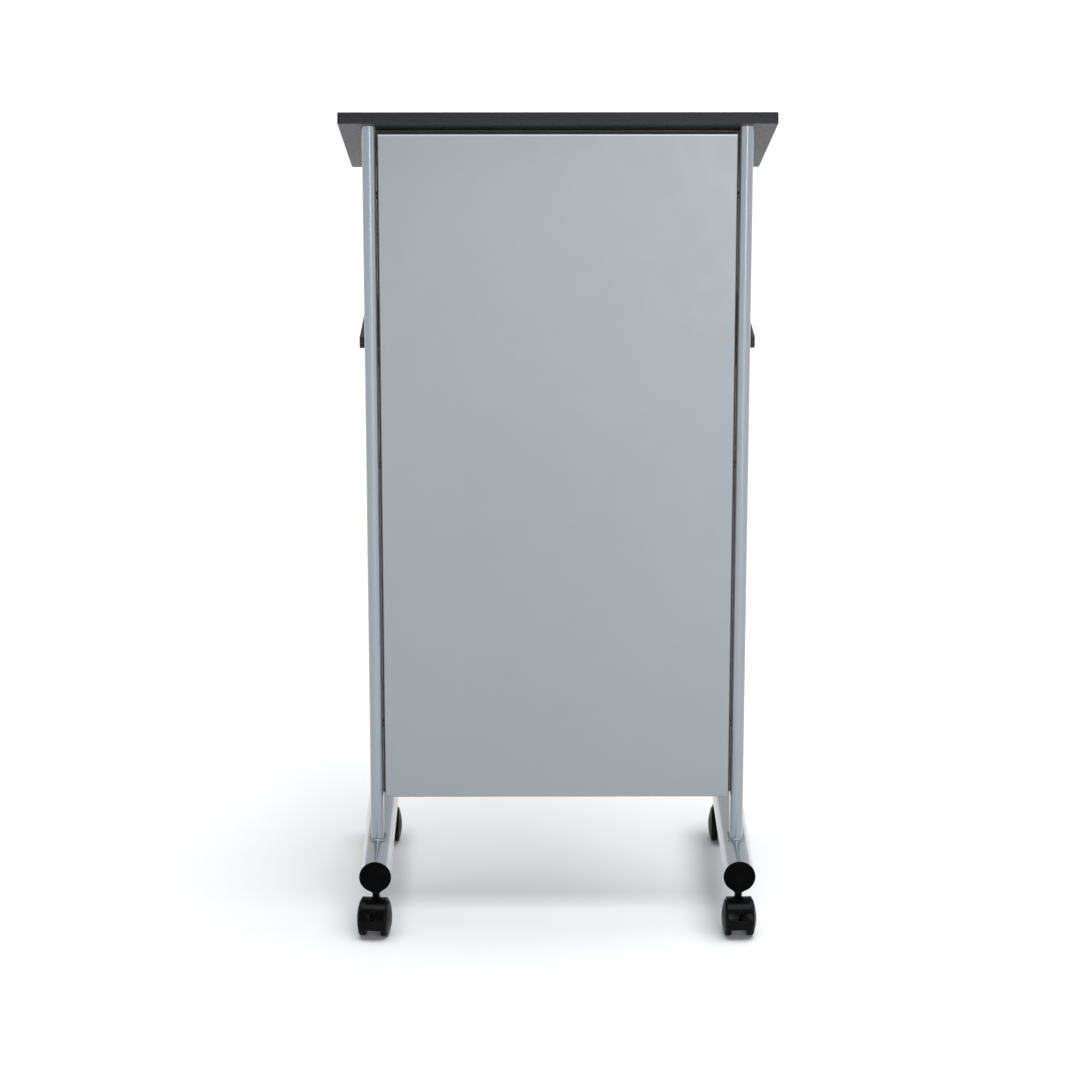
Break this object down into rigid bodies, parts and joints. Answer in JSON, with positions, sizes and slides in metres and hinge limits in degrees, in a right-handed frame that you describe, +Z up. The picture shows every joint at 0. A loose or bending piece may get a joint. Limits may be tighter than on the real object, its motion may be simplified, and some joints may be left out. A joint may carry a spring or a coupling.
{
  "type": "lectern podium",
  "caption": "Mobile lectern: a tilted top board and a shelf on tubular steel side frames behind a sheet-steel front panel, rolling on braked twin-wheel casters.",
  "frame": {"origin": "on the floor, at the middle of the lectern's footprint", "axes": "+Z up, +Y towards the speaker, so the front panel faces -Y; +X to the right as the audience sees it"},
  "size_m": [0.61, 0.5036, 1.1897],
  "materials": {
    "charcoal_laminate": "fine-grained matt charcoal laminate on particle board",
    "charcoal_edge_band": "matt charcoal plastic edging",
    "silver_panel": "smooth satin silver-grey powder coat on sheet steel",
    "silver_powder_coat": "satin silver-grey powder coat on steel tube",
    "black_plastic": "finely textured black moulded plastic",
    "black_nylon": "satin black moulded nylon",
    "wheel_nylon": "smooth black nylon, lightly worn on the tread",
    "black_steel": "blackened steel",
    "zinc_steel": "bright zinc-plated steel"
  },
  "bodies": {
    "frame": {"top_board": "charcoal_laminate", "shelf_board": "charcoal_laminate", "top_edge_band": "charcoal_edge_band", "shelf_edge_band": "charcoal_edge_band", "book_stop": "charcoal_edge_band", "front_panel": "silver_panel", "left_post": "silver_powder_coat", "left_base_tube": "silver_powder_coat", "left_top_arm": "silver_powder_coat", "left_shelf_arm": "silver_powder_coat", "left_top_arm_cap": "black_plastic", "left_shelf_arm_cap": "black_plastic", "left_front_tube_cap": "black_plastic", "left_rear_tube_cap": "black_plastic", "right_post": "silver_powder_coat", "right_base_tube": "silver_powder_coat", "right_top_arm": "silver_powder_coat", "right_shelf_arm": "silver_powder_coat", "right_top_arm_cap": "black_plastic", "right_shelf_arm_cap": "black_plastic", "right_front_tube_cap": "black_plastic", "right_rear_tube_cap": "black_plastic", "top_rail": "silver_powder_coat", "post_welds": "silver_powder_coat", "panel_spacers": "zinc_steel", "panel_screws": "zinc_steel", "top_screws": "black_steel", "shelf_screws": "black_steel", "stop_screws": "black_steel", "caster_sockets": "black_steel", "front_left_stem": "black_steel", "front_left_grip_ring": "zinc_steel", "front_right_stem": "black_steel", "front_right_grip_ring": "zinc_steel", "rear_left_stem": "black_steel", "rear_left_grip_ring": "zinc_steel", "rear_right_stem": "black_steel", "rear_right_grip_ring": "zinc_steel"},
    "front_left_swivel": {"front_left_hood": "black_nylon", "front_left_axle": "zinc_steel", "front_left_brake_pin": "zinc_steel"},
    "front_left_outer_wheel": {"front_left_outer_wheel": "wheel_nylon"},
    "front_left_inner_wheel": {"front_left_inner_wheel": "wheel_nylon"},
    "front_left_brake_lever": {"front_left_brake_lever": "black_nylon"},
    "front_right_swivel": {"front_right_hood": "black_nylon", "front_right_axle": "zinc_steel", "front_right_brake_pin": "zinc_steel"},
    "front_right_outer_wheel": {"front_right_outer_wheel": "wheel_nylon"},
    "front_right_inner_wheel": {"front_right_inner_wheel": "wheel_nylon"},
    "front_right_brake_lever": {"front_right_brake_lever": "black_nylon"},
    "rear_left_swivel": {"rear_left_hood": "black_nylon", "rear_left_axle": "zinc_steel"},
    "rear_left_outer_wheel": {"rear_left_outer_wheel": "wheel_nylon"},
    "rear_left_inner_wheel": {"rear_left_inner_wheel": "wheel_nylon"},
    "rear_right_swivel": {"rear_right_hood": "black_nylon", "rear_right_axle": "zinc_steel"},
    "rear_right_outer_wheel": {"rear_right_outer_wheel": "wheel_nylon"},
    "rear_right_inner_wheel": {"rear_right_inner_wheel": "wheel_nylon"}
  },
  "joints": [
    {"name": "front_left_swivel_turn", "type": "hinge", "parent": "frame", "child": "front_left_swivel", "pos_m": [-0.263, -0.20318, 0.05], "axis": [0, 0, 1], "continuous": true},
    {"name": "front_left_outer_wheel_spin", "type": "hinge", "parent": "front_left_swivel", "child": "front_left_outer_wheel", "pos_m": [-0.26492, -0.22007, 0.0265], "axis": [0.9936, -0.1132, 0], "continuous": true},
    {"name": "front_left_inner_wheel_spin", "type": "hinge", "parent": "front_left_swivel", "child": "front_left_inner_wheel", "pos_m": [-0.26492, -0.22007, 0.0265], "axis": [0.9936, -0.1132, 0], "continuous": true},
    {"name": "front_left_brake_press", "type": "hinge", "parent": "front_left_swivel", "child": "front_left_brake_lever", "pos_m": [-0.26575, -0.22733, 0.02975], "axis": [0.9936, -0.1132, 0], "range_deg": [0, 24]},
    {"name": "front_right_swivel_turn", "type": "hinge", "parent": "frame", "child": "front_right_swivel", "pos_m": [0.263, -0.20318, 0.05], "axis": [0, 0, 1], "continuous": true},
    {"name": "front_right_outer_wheel_spin", "type": "hinge", "parent": "front_right_swivel", "child": "front_right_outer_wheel", "pos_m": [0.26344, -0.22017, 0.0265], "axis": [0.9997, 0.0262, 0], "continuous": true},
    {"name": "front_right_inner_wheel_spin", "type": "hinge", "parent": "front_right_swivel", "child": "front_right_inner_wheel", "pos_m": [0.26344, -0.22017, 0.0265], "axis": [0.9997, 0.0262, 0], "continuous": true},
    {"name": "front_right_brake_press", "type": "hinge", "parent": "front_right_swivel", "child": "front_right_brake_lever", "pos_m": [0.26364, -0.22748, 0.02975], "axis": [0.9997, 0.0262, 0], "range_deg": [0, 24]},
    {"name": "rear_left_swivel_turn", "type": "hinge", "parent": "frame", "child": "rear_left_swivel", "pos_m": [-0.263, 0.18682, 0.05], "axis": [0, 0, 1], "continuous": true},
    {"name": "rear_left_outer_wheel_spin", "type": "hinge", "parent": "rear_left_swivel", "child": "rear_left_outer_wheel", "pos_m": [-0.263, 0.16982, 0.0265], "axis": [1, 0, 0], "continuous": true},
    {"name": "rear_left_inner_wheel_spin", "type": "hinge", "parent": "rear_left_swivel", "child": "rear_left_inner_wheel", "pos_m": [-0.263, 0.16982, 0.0265], "axis": [1, 0, 0], "continuous": true},
    {"name": "rear_right_swivel_turn", "type": "hinge", "parent": "frame", "child": "rear_right_swivel", "pos_m": [0.263, 0.18682, 0.05], "axis": [0, 0, 1], "continuous": true},
    {"name": "rear_right_outer_wheel_spin", "type": "hinge", "parent": "rear_right_swivel", "child": "rear_right_outer_wheel", "pos_m": [0.263, 0.16982, 0.0265], "axis": [1, 0, 0], "continuous": true},
    {"name": "rear_right_inner_wheel_spin", "type": "hinge", "parent": "rear_right_swivel", "child": "rear_right_inner_wheel", "pos_m": [0.263, 0.16982, 0.0265], "axis": [1, 0, 0], "continuous": true}
  ]
}
